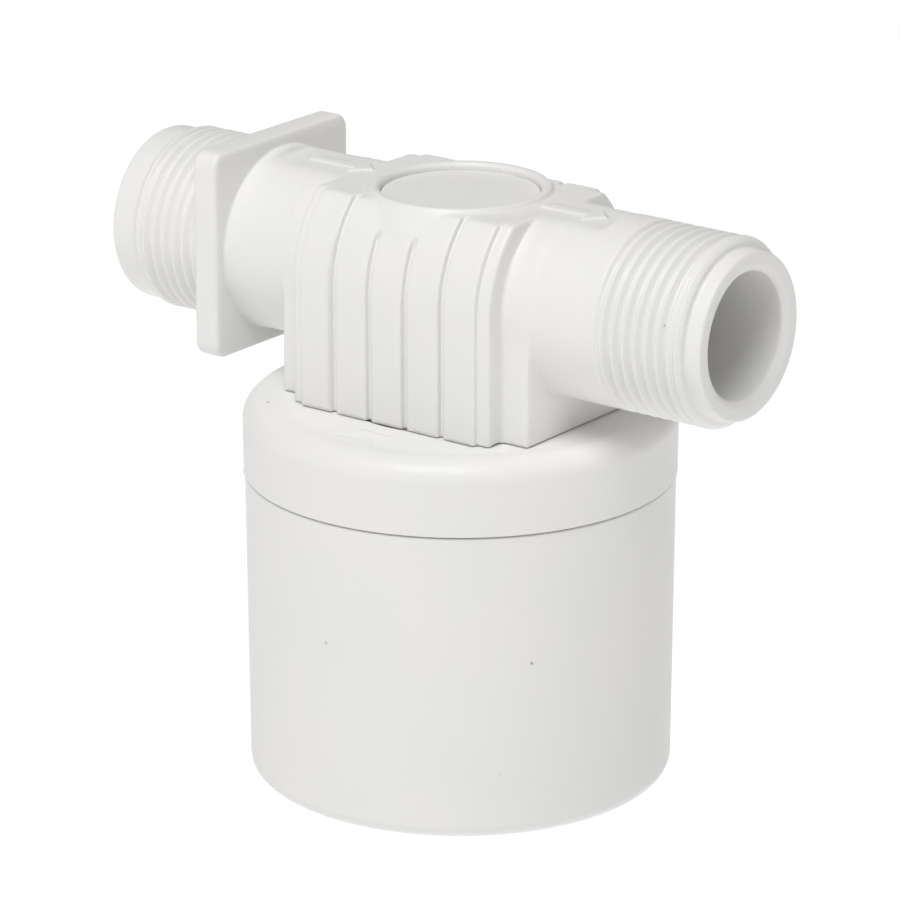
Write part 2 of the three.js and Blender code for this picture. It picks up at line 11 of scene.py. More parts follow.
import bpy
import numpy as np
import openvdb
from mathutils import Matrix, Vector


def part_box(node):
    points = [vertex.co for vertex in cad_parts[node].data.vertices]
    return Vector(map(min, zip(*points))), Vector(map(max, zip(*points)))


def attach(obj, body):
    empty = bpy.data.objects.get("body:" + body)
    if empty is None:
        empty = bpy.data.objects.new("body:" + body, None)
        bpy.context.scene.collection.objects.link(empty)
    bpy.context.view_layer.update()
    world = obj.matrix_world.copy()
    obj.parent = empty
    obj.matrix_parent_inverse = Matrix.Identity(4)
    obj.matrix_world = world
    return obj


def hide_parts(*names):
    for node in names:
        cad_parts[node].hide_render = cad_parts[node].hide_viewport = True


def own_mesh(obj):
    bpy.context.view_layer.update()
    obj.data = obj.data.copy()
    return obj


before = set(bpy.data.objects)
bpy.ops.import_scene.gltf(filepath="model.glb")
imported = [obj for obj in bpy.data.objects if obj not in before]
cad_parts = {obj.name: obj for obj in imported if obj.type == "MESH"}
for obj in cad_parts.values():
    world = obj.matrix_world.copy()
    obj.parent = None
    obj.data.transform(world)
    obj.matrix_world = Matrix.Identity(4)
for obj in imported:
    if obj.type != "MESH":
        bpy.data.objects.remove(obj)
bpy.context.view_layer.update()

MM = 0.001


def box_mm(node):
    low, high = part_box(node)
    return np.array(low) / MM, np.array(high) / MM


BODY_LOW, BODY_HIGH = box_mm("valve_body")
_, LID_HIGH = box_mm("float_lid")
_, COVER_HIGH = box_mm("top_cover")
RING_LOW, RING_HIGH = box_mm("float_retaining_ring")
WELL_LOW, _ = box_mm("float_well")

# ---------------------------------------------------------------- fineness

STEP = 0.24
FINE_STEP = 0.13
SPIN_STEPS = 224
TABLE_STEP = 0.08
ADAPTIVITY = 0.02

# ---------------------------------------------------------------- the body's dimensions, mm

GAP = 0.3  # between two pieces that are assembled
THIN = 0.1  # between two pieces that press on each other

PIPE_Z = 72.55
PIPE_R = 13.24
THREAD_ROOT_R = 12.1
THREAD_PITCH = 1.814
THREAD_ROOT_FLAT = 0.12  # half the width of the groove's flat bottom
THREAD_LIFT = 2.0  # how far the groove rises where it runs out
THREAD_RUN_OUT = 0.75 * THREAD_PITCH
FLANK_ANGLE = math.radians(27.5)
WATERWAY_R = 8.9
MOUTH_R = 9.7
INLET_X = BODY_LOW[0]
OUTLET_X = BODY_HIGH[0]
# Each end: face, direction into the pipe, lip radius, lip length, first groove from the face, turns
ENDS = ((INLET_X, 1, 12.6, 4.2, 6.114, 6), (OUTLET_X, -1, 11.7, 2.4, 4.3, 7))

FLANGE_X = (-35.9, -31.7)
FLANGE_HALF = 15.0
FLANGE_CORNER_R = 2.2

LID_RIM_Z = LID_HIGH[2] + 0.12  # the lid is gently dished inside its rim
LID_DISH_Z = LID_HIGH[2] - 0.12
BLOCK_BASE_Z = LID_DISH_Z + 0.08
STEPS = ((21.3, 13.2), (17.0, 16.2))  # half length, half width
RIB_HALF_WIDTH = 17.0
RIB_PITCH = 6.2
RIB_GROOVE = 0.85
RIB_COUNT = 5
PLATEAU_Z = 84.9
PLATEAU_X = (-30.2, 27.5)
ARROWS = ((14.2, 22.3, 24.9), (-26.0, -18.0, -15.2))  # tail, neck and tip along X
ARROW_SHAFT_HALF = 1.0
ARROW_HEAD_HALF = 2.7
ARROW_HEIGHT = 0.32

BOSS_TOP_Z = 85.5
BOSS_TOP_R = 12.75
BOSS_FLARE = 0.54  # growth in radius for each mm below the rim
RECESS_R = 11.2
RECESS_FLOOR_Z = 82.2
CAP_TOP_Z = COVER_HIGH[2]

SKIRT_R = 16.2
SKIRT_END_Z = BODY_LOW[2]
CYLINDER_R = 12.0
CYLINDER_TOP_Z = 69.4
SEAT_Z = 61.0
SEAT_R = 5.8
SEAT_TUBE_R = 7.5
DUCT_R = 5.0
DUCT_Z = 76.4
INLET_END_X = -9.5
OUTLET_START_X = 15.0
STOP_GROOVE_Z = (44.6, 46.2)
STOP_GROOVE_DEPTH = 0.7
SCREW_CIRCLE_R = 13.9
SCREW_HOLE_R = 1.2
SCREW_HOLE_TOP_Z = 50

# ---------------------------------------------------------------- the inner pieces' dimensions, mm

SEAL_GROOVE = (7.0, 9.0, 1.1)  # inner radius, outer radius, depth
STRAINER_LENGTH = 15
STRAINER_SLOTS = 4  # each one cuts the basket on both sides

COVER_Z = 40.2
COVER_THICKNESS = 2.8
COVER_R = 15.9
COVER_HOLE_R = 1.5
SPIGOT_TOP_Z = 44.4
PIVOT = (-8.0, 0.0, 35.5)
NOZZLE_X = -3.0
NOZZLE_TIP_Z = 36.9
NOZZLE_R = 1.5
LINK_X = 8.0
LEVER_HALF_WIDTH = 3.0
PIN_R = 0.9
PIN_HOLE_R = 1.1
SCREW_PITCH = 0.55
SCREW_R = 0.95
SCREW_ROOT_R = 0.72
SCREW_HEAD = 1.4
SCREW_STOPS = (0.4, 1.5, 2.5, 0.9)  # the angle each slot stopped at, in radians

PISTON_BOTTOM = 52.0
POCKET_TOP = 57.0
PISTON_RECESS = 59.1
PISTON_TOP = 60.4
CUP_GROOVE = (10.2, 53.6, 56.4)  # radius, low, high

SPRING_R = 6.9
SPRING_WIRE = 0.45
SPRING_TURNS = 6.5
SPRING_LOW = SPIGOT_TOP_Z + THIN
SPRING_HIGH = POCKET_TOP - THIN

# ---------------------------------------------------------------- the float's dimensions, mm

FLOAT_TRAVEL = 5.0
LIP_INNER_R = 16.7
WELL_R = 18.9
WELL_WALL = 1.5
WELL_FLOOR_Z = WELL_LOW[2]
LID_WALL_INNER_R = 29.2
LID_R = 30.5
LID_UNDERSIDE_Z = LID_HIGH[2] - 2.2
LID_SHOULDER_Z = 48.4
CUP_SPIGOT = (27.9, 28.9, 47.0)  # inner radius, outer radius, top
CUP_TOP_R = 30.3
CUP_BASE_R = 29.95
CUP_FLOOR_Z = 2.0
SEAM_Z = 44.3
SEAM_GAP = 0.22
MARK_Y = (-19.95, -23.85)
MARK_HALF_LENGTH = 2.8
MARK_HALF_WIDTH = 0.26
MARK_DEPTH = 0.4
GATE_ANGLE = math.radians(-134.0)
GATE_Z = 45.2
GATE_PIP = (0.55, 0.7, 0.3)  # half width, half height, how far it stands out

# ---------------------------------------------------------------- signed distance fields


class Grid:
    """Sample points on a lattice, in millimetres. A field is negative inside the solid."""

    def __init__(self, low, high, step):
        self.low = np.array(low, float)
        self.step = step
        counts = np.ceil((np.array(high) - self.low) / step).astype(int) + 1
        axes = [self.low[i] + step * np.arange(counts[i]) for i in range(3)]
        self.x = axes[0].astype(np.float32)[:, None, None]
        self.y = axes[1].astype(np.float32)[None, :, None]
        self.z = axes[2].astype(np.float32)[None, None, :]
        self.shape = tuple(counts)

    def part(self, x0, x1):
        """The slice of the first axis between two places along X."""
        first = int(np.searchsorted(self.x[:, 0, 0], x0))
        last = int(np.searchsorted(self.x[:, 0, 0], x1))
        return slice(first, last)


def joined(a, b, blend):
    """Union with a fillet about as wide as blend."""
    soft = np.maximum(blend - np.abs(a - b), 0.0)
    return np.minimum(a, b) - soft * soft / (4.0 * blend)


def common(a, b, blend):
    """Intersection with its edges rounded by about blend."""
    soft = np.maximum(blend - np.abs(a - b), 0.0)
    return np.maximum(a, b) + soft * soft / (4.0 * blend)


def removed(a, tool, blend):
    return common(a, -tool, blend)


def between(axis, low, high):
    return np.maximum(low - axis, axis - high)


def rod(radial, axis, radius, low, high, blend):
    return common(radial - radius, between(axis, low, high), blend)


def arch(grid, half_width):
    """Straight sides below the pipe's axis and a half round above it, in Y and Z."""
    height = grid.z - PIPE_Z
    upper = np.hypot(grid.y, np.maximum(height, 0))
    return np.where(height > 0, upper, np.abs(grid.y)) - half_width


def rounded_rectangle(a, b, half, radius):
    over_a = np.abs(a) - half + radius
    over_b = np.abs(b) - half + radius
    outside = np.hypot(np.maximum(over_a, 0), np.maximum(over_b, 0))
    return outside + np.minimum(np.maximum(over_a, over_b), 0) - radius


def thread_grooves(grid, window, radial, angle, first, towards, turns):
    """A right-handed helical groove that starts near a pipe end and fades out at both of its ends."""
    x = grid.x[window]
    last = first + towards * (turns - 1) * THREAD_PITCH
    turn = (x - first) / THREAD_PITCH + angle / (2 * math.pi)
    off_centre = np.abs(turn - np.round(turn)) * THREAD_PITCH
    low, high = sorted((first, last))
    past_end = np.maximum(between(x, low, high), 0)
    lift = THREAD_LIFT * np.clip(past_end / THREAD_RUN_OUT, 0, 1) ** 2
    above_root = radial - THREAD_ROOT_R - lift
    flank = off_centre * math.cos(FLANK_ANGLE) - above_root * math.sin(FLANK_ANGLE)
    return common(flank - THREAD_ROOT_FLAT, -above_root, 0.25)


def flow_arrow(grid, tail_x, neck_x, tip_x):
    """A raised arrow on the plateau that points along +X."""
    across = np.abs(grid.y)
    shaft = np.maximum(across - ARROW_SHAFT_HALF, between(grid.x, tail_x, neck_x + 0.5))
    slope = ARROW_HEAD_HALF / (tip_x - neck_x)
    side = (across - (tip_x - grid.x) * slope) / math.hypot(1, slope)
    head = np.maximum(side, neck_x - grid.x)
    outline = np.minimum(shaft, head)
    return common(outline, between(grid.z, PLATEAU_Z - 0.5, PLATEAU_Z + ARROW_HEIGHT), 0.15)


def threaded_pipe(grid):
    radial = np.hypot(grid.y, grid.z - PIPE_Z)
    angle = np.arctan2(grid.z - PIPE_Z, grid.y)
    inlet_lip, outlet_lip = [lip_length for _, _, _, lip_length, _, _ in ENDS]
    pipe = rod(radial, grid.x, PIPE_R, INLET_X + inlet_lip, OUTLET_X - outlet_lip, 0.2)
    for face_x, towards, lip_r, lip_length, first_groove, turns in ENDS:
        past_lip = (face_x + towards * lip_length - grid.x) * towards
        chamfer = (past_lip + radial - PIPE_R + 0.7) / math.sqrt(2)
        pipe = common(pipe, chamfer, 0.15)
        low, high = sorted((face_x, face_x + towards * 20))
        pipe = joined(pipe, rod(radial, grid.x, lip_r, low, high, 0.5), 0.35)
        window = grid.part(low, high)
        first = face_x + towards * first_groove
        grooves = thread_grooves(grid, window, radial, angle, first, towards, turns)
        pipe[window] = removed(pipe[window], grooves, 0.16)
    return pipe


def ribbed_block(grid):
    block = None
    for half_length, half_width in STEPS:
        step = common(arch(grid, half_width), np.abs(grid.x) - half_length, 0.6)
        block = step if block is None else joined(block, step, 0.5)
    nearest_rib = np.clip(np.round(grid.x / RIB_PITCH), -(RIB_COUNT // 2), RIB_COUNT // 2)
    off_rib = np.abs(grid.x - nearest_rib * RIB_PITCH) - (RIB_PITCH - RIB_GROOVE) / 2
    block = joined(block, common(arch(grid, RIB_HALF_WIDTH), off_rib, 0.3), 0.15)
    return common(block, BLOCK_BASE_Z - grid.z, 0.12)


def with_top(grid, body):
    """The body with its flat plateau, the flared boss and the two arrows."""
    plateau = common(between(grid.x, *PLATEAU_X), PLATEAU_Z - grid.z, 0.8)
    body = removed(body, plateau, 0.45)
    radial = np.hypot(grid.x, grid.y)
    flank = radial - BOSS_TOP_R - BOSS_FLARE * np.clip(BOSS_TOP_Z - 0.3 - grid.z, 0, 3.4)
    flank = flank / math.hypot(1, BOSS_FLARE)
    boss = common(flank, between(grid.z, PLATEAU_Z - 8, BOSS_TOP_Z), 0.5)
    body = joined(body, boss, 0.2)
    for tail_x, neck_x, tip_x in ARROWS:
        body = joined(body, flow_arrow(grid, tail_x, neck_x, tip_x), 0.12)
    return body


def with_waterways(grid, body):
    """The body with its recess, both waterways, the duct, the cylinder and the seat cut out."""
    along_x = np.hypot(grid.y, grid.z - PIPE_Z)
    along_z = np.hypot(grid.x, grid.y)
    chamfer = 0.9 * np.maximum(grid.z - BOSS_TOP_Z + 0.45, 0)
    recess = common(along_z - RECESS_R - chamfer, RECESS_FLOOR_Z - grid.z, 0.2)
    body = removed(body, recess, 0.2)
    inlet = rod(along_x, grid.x, WATERWAY_R, INLET_X - 5, INLET_END_X, 0.5)
    inlet = joined(inlet, rod(along_x, grid.x, MOUTH_R, INLET_X - 5, INLET_X + 2.5, 0.2), 0.05)
    body = removed(body, inlet, 0.5)
    outlet = along_x - WATERWAY_R - np.maximum(grid.x - OUTLET_X + 0.8, 0)
    body = removed(body, common(outlet, OUTLET_START_X - grid.x, 0.5), 0.3)
    duct = rod(np.hypot(grid.y, grid.z - DUCT_Z), grid.x, DUCT_R, 0, OUTLET_START_X + 1, 0.3)
    body = removed(body, duct, 0.4)
    chamber = rod(along_z, grid.z, CYLINDER_R, SKIRT_END_Z - 5, CYLINDER_TOP_Z, 0.8)
    seat_tube = rod(along_z, grid.z, SEAT_TUBE_R, SEAT_Z, CYLINDER_TOP_Z + 5, 0.5)
    body = removed(body, removed(chamber, seat_tube, 0.4), 0.4)
    seat = rod(along_z, grid.z, SEAT_R, SEAT_Z - 2, RECESS_FLOOR_Z + 2, 0.2)
    return removed(body, seat, 0.4)


def screw_centres():
    angles = [eighth * math.pi / 4 for eighth in (1, 3, 5, 7)]
    return [(SCREW_CIRCLE_R * math.cos(angle), SCREW_CIRCLE_R * math.sin(angle)) for angle in angles]


def body_field(grid):
    along_z = np.hypot(grid.x, grid.y)
    body = joined(threaded_pipe(grid), ribbed_block(grid), 0.6)
    body = with_top(grid, body)
    plate = rounded_rectangle(grid.y, grid.z - PIPE_Z, FLANGE_HALF, FLANGE_CORNER_R)
    body = joined(body, common(plate, between(grid.x, *FLANGE_X), 0.9), 0.3)
    skirt = rod(along_z, grid.z, SKIRT_R, SKIRT_END_Z, BLOCK_BASE_Z + 3, 0.4)
    body = joined(body, skirt, 0.3)
    body = with_waterways(grid, body)
    groove = common(SKIRT_R - STOP_GROOVE_DEPTH - along_z, between(grid.z, *STOP_GROOVE_Z), 0.15)
    body = removed(body, groove, 0.2)
    for x, y in screw_centres():
        radial = np.hypot(grid.x - x, grid.y - y)
        hole = rod(radial, grid.z, SCREW_HOLE_R, SKIRT_END_Z - 5, SCREW_HOLE_TOP_Z, 0.2)
        body = removed(body, hole, 0.2)
    return body


# ---------------------------------------------------------------- meshes


def sampled(grid, field, points):
    """Trilinear values of a field at points in millimetres."""
    place = (points - grid.low) / grid.step
    corner = np.clip(np.floor(place).astype(int), 0, np.array(grid.shape) - 2)
    share = place - corner
    value = np.zeros(len(points))
    for offset in itertools.product((0, 1), repeat=3):
        weight = np.prod(np.abs(1 - np.array(offset) - share), axis=1)
        i, j, k = (corner + offset).T
        value += weight * field[i, j, k]
    return value


def normals_of(grid, field, points):
    reach = 0.6 * grid.step
    normal = np.zeros((len(points), 3))
    for axis in range(3):
        offset = np.zeros(3)
        offset[axis] = reach
        normal[:, axis] = sampled(grid, field, points + offset) - sampled(grid, field, points - offset)
    return normal / np.maximum(np.linalg.norm(normal, axis=1, keepdims=True), 1e-9)


def mesh_object(name, points, faces, normals=None):
    """A smooth-shaded object from points in millimetres and a list of face arrays."""
    mesh = bpy.data.meshes.new(name)
    corners = np.concatenate([part.ravel() for part in faces]).astype(np.int32)
    sizes = np.concatenate([np.full(len(part), part.shape[1]) for part in faces])
    starts = np.concatenate([[0], np.cumsum(sizes)[:-1]]).astype(np.int32)
    mesh.vertices.add(len(points))
    mesh.vertices.foreach_set("co", (points * MM).astype(np.float32).ravel())
    mesh.loops.add(len(corners))
    mesh.loops.foreach_set("vertex_index", corners)
    mesh.polygons.add(len(sizes))
    mesh.polygons.foreach_set("loop_start", starts)
    mesh.update(calc_edges=True)
    mesh.validate()
    mesh.polygons.foreach_set("use_smooth", np.ones(len(mesh.polygons), bool))
    if normals is not None:
        mesh.normals_split_custom_set_from_vertices(normals.astype(np.float32))
    piece = bpy.data.objects.new(name, mesh)
    bpy.context.scene.collection.objects.link(piece)
    return piece


def moulded(name, grid, field):
    """Meshes a field where it crosses zero, with normals from the field itself."""
    band = 3 * grid.step
    volume = openvdb.FloatGrid(band)
    # The volume reads its array in row order, whatever order the field was worked out in
    volume.copyFromArray(np.clip(field, -band, band).astype(np.float32, order="C"))
    points, triangles, quads = volume.convertToPolygons(isovalue=0.0, adaptivity=ADAPTIVITY)
    points = grid.low + points * grid.step
    faces = [part for part in (triangles, quads) if len(part)]
    return mesh_object(name, points, faces, normals_of(grid, field, points))


def rounded_outline(profile, radius, arc_steps=5):
    """Points and outward normals round a closed profile, with its corners turned into arcs.

    A corner is a radius and a height, and may have a third number, which is that corner's own fillet.
    """
    corners = np.array([row[:2] for row in profile], float)
    radii = [row[2] if len(row) > 2 else None for row in profile]
    after = np.roll(corners, -1, axis=0)
    if np.sum(corners[:, 0] * after[:, 1] - after[:, 0] * corners[:, 1]) < 0:
        corners = corners[::-1]
        radii = radii[::-1]
    starts = [i for i in range(len(corners)) if corners[i][0] == 0 and corners[i - 1][0] == 0]
    if starts:
        corners = np.roll(corners, -starts[0], axis=0)
        radii = radii[starts[0] :] + radii[: starts[0]]
    points = []
    normals = []
    for i, here in enumerate(corners):
        into = here - corners[i - 1]
        out = corners[(i + 1) % len(corners)] - here
        length_in, length_out = np.linalg.norm(into), np.linalg.norm(out)
        into, out = into / length_in, out / length_out
        side_in = np.array([into[1], -into[0]])
        side_out = np.array([out[1], -out[0]])
        if here[0] == 0:
            points.append(here)
            normals.append(side_out if i == 0 else side_in)
            continue
        turn = math.atan2(into[0] * out[1] - into[1] * out[0], float(into @ out))
        if abs(turn) < 0.01:
            points.append(here)
            normals.append(side_in)
            continue
        half = math.tan(abs(turn) / 2)
        reach = min(radius * half, 0.45 * length_in, 0.45 * length_out)
        if radii[i] is not None:
            reach = radii[i] * half
        arc = reach / half
        way = math.copysign(1, turn)
        centre = here - into * reach - way * side_in * arc
        steps = arc_steps if abs(turn) < 1 or arc < 1 else 3 * arc_steps
        for share in np.linspace(0, 1, steps + 1):
            c, d = math.cos(turn * share), math.sin(turn * share)
            normal = np.array([c * side_in[0] - d * side_in[1], d * side_in[0] + c * side_in[1]])
            points.append(centre + way * arc * normal)
            normals.append(normal)
    return np.array(points), np.array(normals)


def with_relief(points, normals, relief):
    """Moves points along their normals by relief(points), and tilts the normals to suit."""
    reach = 0.02
    slope = np.zeros_like(points)
    for axis in range(3):
        offset = np.zeros(3)
        offset[axis] = reach
        slope[:, axis] = (relief(points + offset) - relief(points - offset)) / (2 * reach)
    slope -= normals * np.sum(slope * normals, axis=1, keepdims=True)
    tilted = normals - slope
    tilted /= np.linalg.norm(tilted, axis=1, keepdims=True)
    return points + normals * relief(points)[:, None], tilted


def spun(name, profile, radius=0.2, axis=2, centre=(0, 0, 0), angles=None, relief=None):
    """A closed turned piece about an axis through centre, from a profile of radii and heights."""
    if angles is None:
        angles = np.linspace(0, 2 * math.pi, SPIN_STEPS, endpoint=False)
    outline, sides = rounded_outline(profile, radius)
    steps, count = len(angles), len(outline)
    circle = np.stack([np.cos(angles), np.sin(angles)], axis=1)
    points, normals = [], []
    for place, side in zip(outline, sides):
        turns = circle[:1] * 0 if place[0] == 0 else circle
        flat = np.zeros((len(turns), 1))
        points.append(np.hstack([turns * place[0], flat + place[1]]))
        normals.append(np.hstack([turns * side[0], flat + side[1]]))
    firsts = np.concatenate([[0], np.cumsum([len(part) for part in points])])
    points, normals = np.vstack(points), np.vstack(normals)
    normals /= np.maximum(np.linalg.norm(normals, axis=1, keepdims=True), 1e-9)
    if relief is not None:
        points, normals = with_relief(points, normals, relief)
    quads, triangles = [], []
    ahead = np.roll(np.arange(steps), -1)
    for k in range(count):
        follow = (k + 1) % count
        poles = outline[k][0] == 0, outline[follow][0] == 0
        if all(poles):
            continue
        a, b = firsts[k] + np.arange(steps), firsts[follow] + np.arange(steps)
        d, c = firsts[k] + ahead, firsts[follow] + ahead
        if poles[0]:
            triangles.append(np.stack([np.full(steps, firsts[k]), c, b], axis=-1))
        elif poles[1]:
            triangles.append(np.stack([a, d, np.full(steps, firsts[follow])], axis=-1))
        else:
            quads.append(np.stack([a, d, c, b], axis=-1))
    faces = [np.concatenate(group) for group in (triangles, quads) if group]
    points = np.roll(points, axis + 1, axis=-1) + np.array(centre, float)
    return mesh_object(name, points, faces, np.roll(normals, axis + 1, axis=-1))


def turned_field(radial, height, profile, radius=0.2):
    """The signed distance to a turned piece, read from a fine table of its half section."""
    outline, _ = rounded_outline(profile, radius)
    low, high = outline.min(axis=0) - 1.5, outline.max(axis=0) + 1.5
    r = np.arange(low[0], high[0], TABLE_STEP)[:, None]
    h = np.arange(low[1], high[1], TABLE_STEP)[None, :]
    nearest = np.full(np.broadcast(r, h).shape, 1e9)
    inside = np.zeros(nearest.shape, bool)
    for a, b in zip(outline, np.roll(outline, -1, axis=0)):
        if a[0] == 0 and b[0] == 0:
            continue
        edge = b - a
        share = ((r - a[0]) * edge[0] + (h - a[1]) * edge[1]) / max(edge @ edge, 1e-12)
        share = np.clip(share, 0, 1)
        gap = np.hypot(r - a[0] - share * edge[0], h - a[1] - share * edge[1])
        nearest = np.minimum(nearest, gap)
    for a, b in zip(outline, np.roll(outline, -1, axis=0)):
        if a[1] == b[1]:
            continue
        crosses = (h >= min(a[1], b[1])) & (h < max(a[1], b[1]))
        at = a[0] + (h - a[1]) / (b[1] - a[1]) * (b[0] - a[0])
        inside ^= crosses & (at > np.abs(r))
    table = np.where(inside, -nearest, nearest)
    place_r = np.clip((radial - low[0]) / TABLE_STEP, 0, table.shape[0] - 1.001)
    place_h = np.clip((height - low[1]) / TABLE_STEP, 0, table.shape[1] - 1.001)
    place_r, place_h = np.broadcast_arrays(place_r, place_h)
    i, j = place_r.astype(int), place_h.astype(int)
    u, v = place_r - i, place_h - j
    across = table[i, j] * (1 - u) + table[i + 1, j] * u
    beyond = table[i, j + 1] * (1 - u) + table[i + 1, j + 1] * u
    return across * (1 - v) + beyond * v


# ---------------------------------------------------------------- materials


class Graph:
    """A material and the nodes behind its Principled shader, in object coordinates."""

    def __init__(self, name):
        self.material = bpy.data.materials.new(name)
        self.material.use_nodes = True
        self.tree = self.material.node_tree
        self.shader = self.tree.nodes["Principled BSDF"]
        self.place = self.add("ShaderNodeTexCoord").outputs["Object"]

    def add(self, kind, **values):
        node = self.tree.nodes.new(kind)
        for key, value in values.items():
            setattr(node, key, value)
        return node

    def link(self, source, target):
        self.tree.links.new(source, target)

    def stretched(self, scale):
        mapping = self.add("ShaderNodeMapping")
        mapping.inputs["Scale"].default_value = scale
        self.link(self.place, mapping.inputs["Vector"])
        return mapping.outputs["Vector"]

    def noise(self, scale, detail=2.0, place=None):
        node = self.add("ShaderNodeTexNoise")
        node.inputs["Scale"].default_value = scale
        node.inputs["Detail"].default_value = detail
        self.link(self.place if place is None else place, node.inputs["Vector"])
        return node.outputs["Fac"]

    def mapped(self, value, low, high, out_low, out_high):
        node = self.add("ShaderNodeMapRange")
        node.inputs["From Min"].default_value = low
        node.inputs["From Max"].default_value = high
        node.inputs["To Min"].default_value = out_low
        node.inputs["To Max"].default_value = out_high
        self.link(value, node.inputs["Value"])
        return node.outputs["Result"]

    def mixed(self, share, first, second):
        """A colour between two others, either of which is an output or a colour."""
        node = self.add("ShaderNodeMix", data_type="RGBA")
        self.link(share, node.inputs["Factor"])
        for key, value in (("A", first), ("B", second)):
            socket = next(s for s in node.inputs if s.name == key and s.type == "RGBA")
            if isinstance(value, tuple):
                socket.default_value = (*value, 1)
            else:
                self.link(value, socket)
        return next(s for s in node.outputs if s.type == "RGBA")

    def bump(self, height, strength, distance):
        node = self.add("ShaderNodeBump")
        node.inputs["Strength"].default_value = strength
        node.inputs["Distance"].default_value = distance
        self.link(height, node.inputs["Height"])
        self.link(node.outputs["Normal"], self.shader.inputs["Normal"])


def moulded_plastic(name, warm, cool, roughness, speck, translucency):
    """Satin plastic: faint warm and cool flow marks, an orange-peel skin and a few dark specks."""
    graph = Graph(name)
    flow = graph.mapped(graph.noise(55, 3), 0.35, 0.65, 0, 1)
    colour = graph.mixed(flow, warm, cool)
    cells = graph.add("ShaderNodeTexVoronoi")
    cells.inputs["Scale"].default_value = 85
    graph.link(graph.place, cells.inputs["Vector"])
    spots = graph.mapped(cells.outputs["Distance"], 0.012, 0.03, 1, 0)
    colour = graph.mixed(spots, colour, speck)
    graph.link(colour, graph.shader.inputs["Base Color"])
    graph.link(graph.mapped(graph.noise(420, 3), 0.3, 0.7, *roughness), graph.shader.inputs["Roughness"])
    graph.bump(graph.noise(2600, 2), 0.12, 0.00006)
    graph.shader.inputs["Subsurface Weight"].default_value = translucency
    graph.shader.inputs["Subsurface Radius"].default_value = (0.0012, 0.0011, 0.001)
    graph.shader.inputs["Subsurface Scale"].default_value = 1.0
    graph.shader.inputs["Specular IOR Level"].default_value = 0.45
    return graph.material


def turned_metal(name, colour, worn, axis):
    """Metal with fine tool marks round its own axis."""
    graph = Graph(name)
    scale = [120.0, 120.0, 120.0]
    scale[axis] = 9000.0
    marks = graph.noise(1, 3, graph.stretched(scale))
    stains = graph.mapped(graph.noise(500, 3), 0.4, 0.7, 0, 1)
    graph.link(graph.mixed(stains, colour, worn), graph.shader.inputs["Base Color"])
    graph.link(graph.mapped(marks, 0.3, 0.7, 0.2, 0.42), graph.shader.inputs["Roughness"])
    graph.bump(marks, 0.25, 0.00003)
    graph.shader.inputs["Metallic"].default_value = 1.0
    return graph.material


def moulded_rubber(name):
    """Dull black rubber with a grainy skin and a faint grey bloom."""
    graph = Graph(name)
    bloom = graph.mapped(graph.noise(380, 4), 0.45, 0.75, 0, 1)
    colour = graph.mixed(bloom, (0.022, 0.022, 0.024), (0.05, 0.05, 0.052))
    graph.link(colour, graph.shader.inputs["Base Color"])
    graph.link(graph.mapped(graph.noise(1500, 2), 0.3, 0.7, 0.6, 0.85), graph.shader.inputs["Roughness"])
    graph.bump(graph.noise(5200, 2), 0.3, 0.00005)
    return graph.material


WHITE = moulded_plastic(
    "white_plastic",
    warm=(0.865, 0.85, 0.828),
    cool=(0.835, 0.835, 0.82),
    roughness=(0.36, 0.5),
    speck=(0.36, 0.33, 0.3),
    translucency=0.08,
)
GREY = moulded_plastic(
    "grey_plastic",
    warm=(0.60, 0.60, 0.59),
    cool=(0.55, 0.57, 0.58),
    roughness=(0.4, 0.56),
    speck=(0.3, 0.29, 0.28),
    translucency=0.04,
)
RUBBER = moulded_rubber("rubber")
STEEL = turned_metal("steel", colour=(0.58, 0.585, 0.59), worn=(0.46, 0.465, 0.47), axis=2)
STEEL_PIN = turned_metal("steel_pin", colour=(0.58, 0.585, 0.59), worn=(0.46, 0.465, 0.47), axis=1)
BRASS = turned_metal("brass", colour=(0.66, 0.47, 0.19), worn=(0.52, 0.35, 0.13), axis=2)


def fit(piece, node, body_name, material):
    """The piece stands for a CAD node and moves with its body."""
    piece.data.materials.append(material)
    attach(piece, body_name)
    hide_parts(node)


def grid_of(node, step, margin=1.0):
    low, high = box_mm(node)
    return Grid(low - margin, high + margin, step)


# ---------------------------------------------------------------- pieces fixed to the body


def valve_body():
    grid = Grid(BODY_LOW - 1.0, BODY_HIGH + 1.0, STEP)
    return moulded("body_moulding", grid, body_field(grid))


def ring_profile(inner, outer, low, high):
    return [(inner, low), (outer, low), (outer, high), (inner, high)]


def pierced(grid, field, centre_x, centre_y, radius, low, high):
    hole = rod(np.hypot(grid.x - centre_x, grid.y - centre_y), grid.z, radius, low, high, 0.1)
    return removed(field, hole, 0.15)


def cross_pinned(grid, field, centre_x, centre_z):
    hole = rod(np.hypot(grid.x - centre_x, grid.z - centre_z), grid.y, PIN_HOLE_R, -9, 9, 0.1)
    return removed(field, hole, 0.15)


def top_cover():
    low = RECESS_FLOOR_Z + GAP
    inner, outer, depth = SEAL_GROOVE
    rim = RECESS_R - THIN
    plug = SEAT_R - GAP
    profile = [(0, low - 2.4), (plug, low - 2.4), (plug, low), (inner, low), (inner, low + depth)]
    profile += [(outer, low + depth), (outer, low), (rim, low), (rim, CAP_TOP_Z), (0, CAP_TOP_Z)]
    return spun("top_cover_turned", profile, 0.28)


def top_cover_seal():
    inner, outer, depth = SEAL_GROOVE
    low = RECESS_FLOOR_Z + THIN
    profile = ring_profile(inner + 0.2, outer - 0.2, low, RECESS_FLOOR_Z + GAP + depth - THIN)
    return spun("top_cover_seal_ring", profile, 0.5)


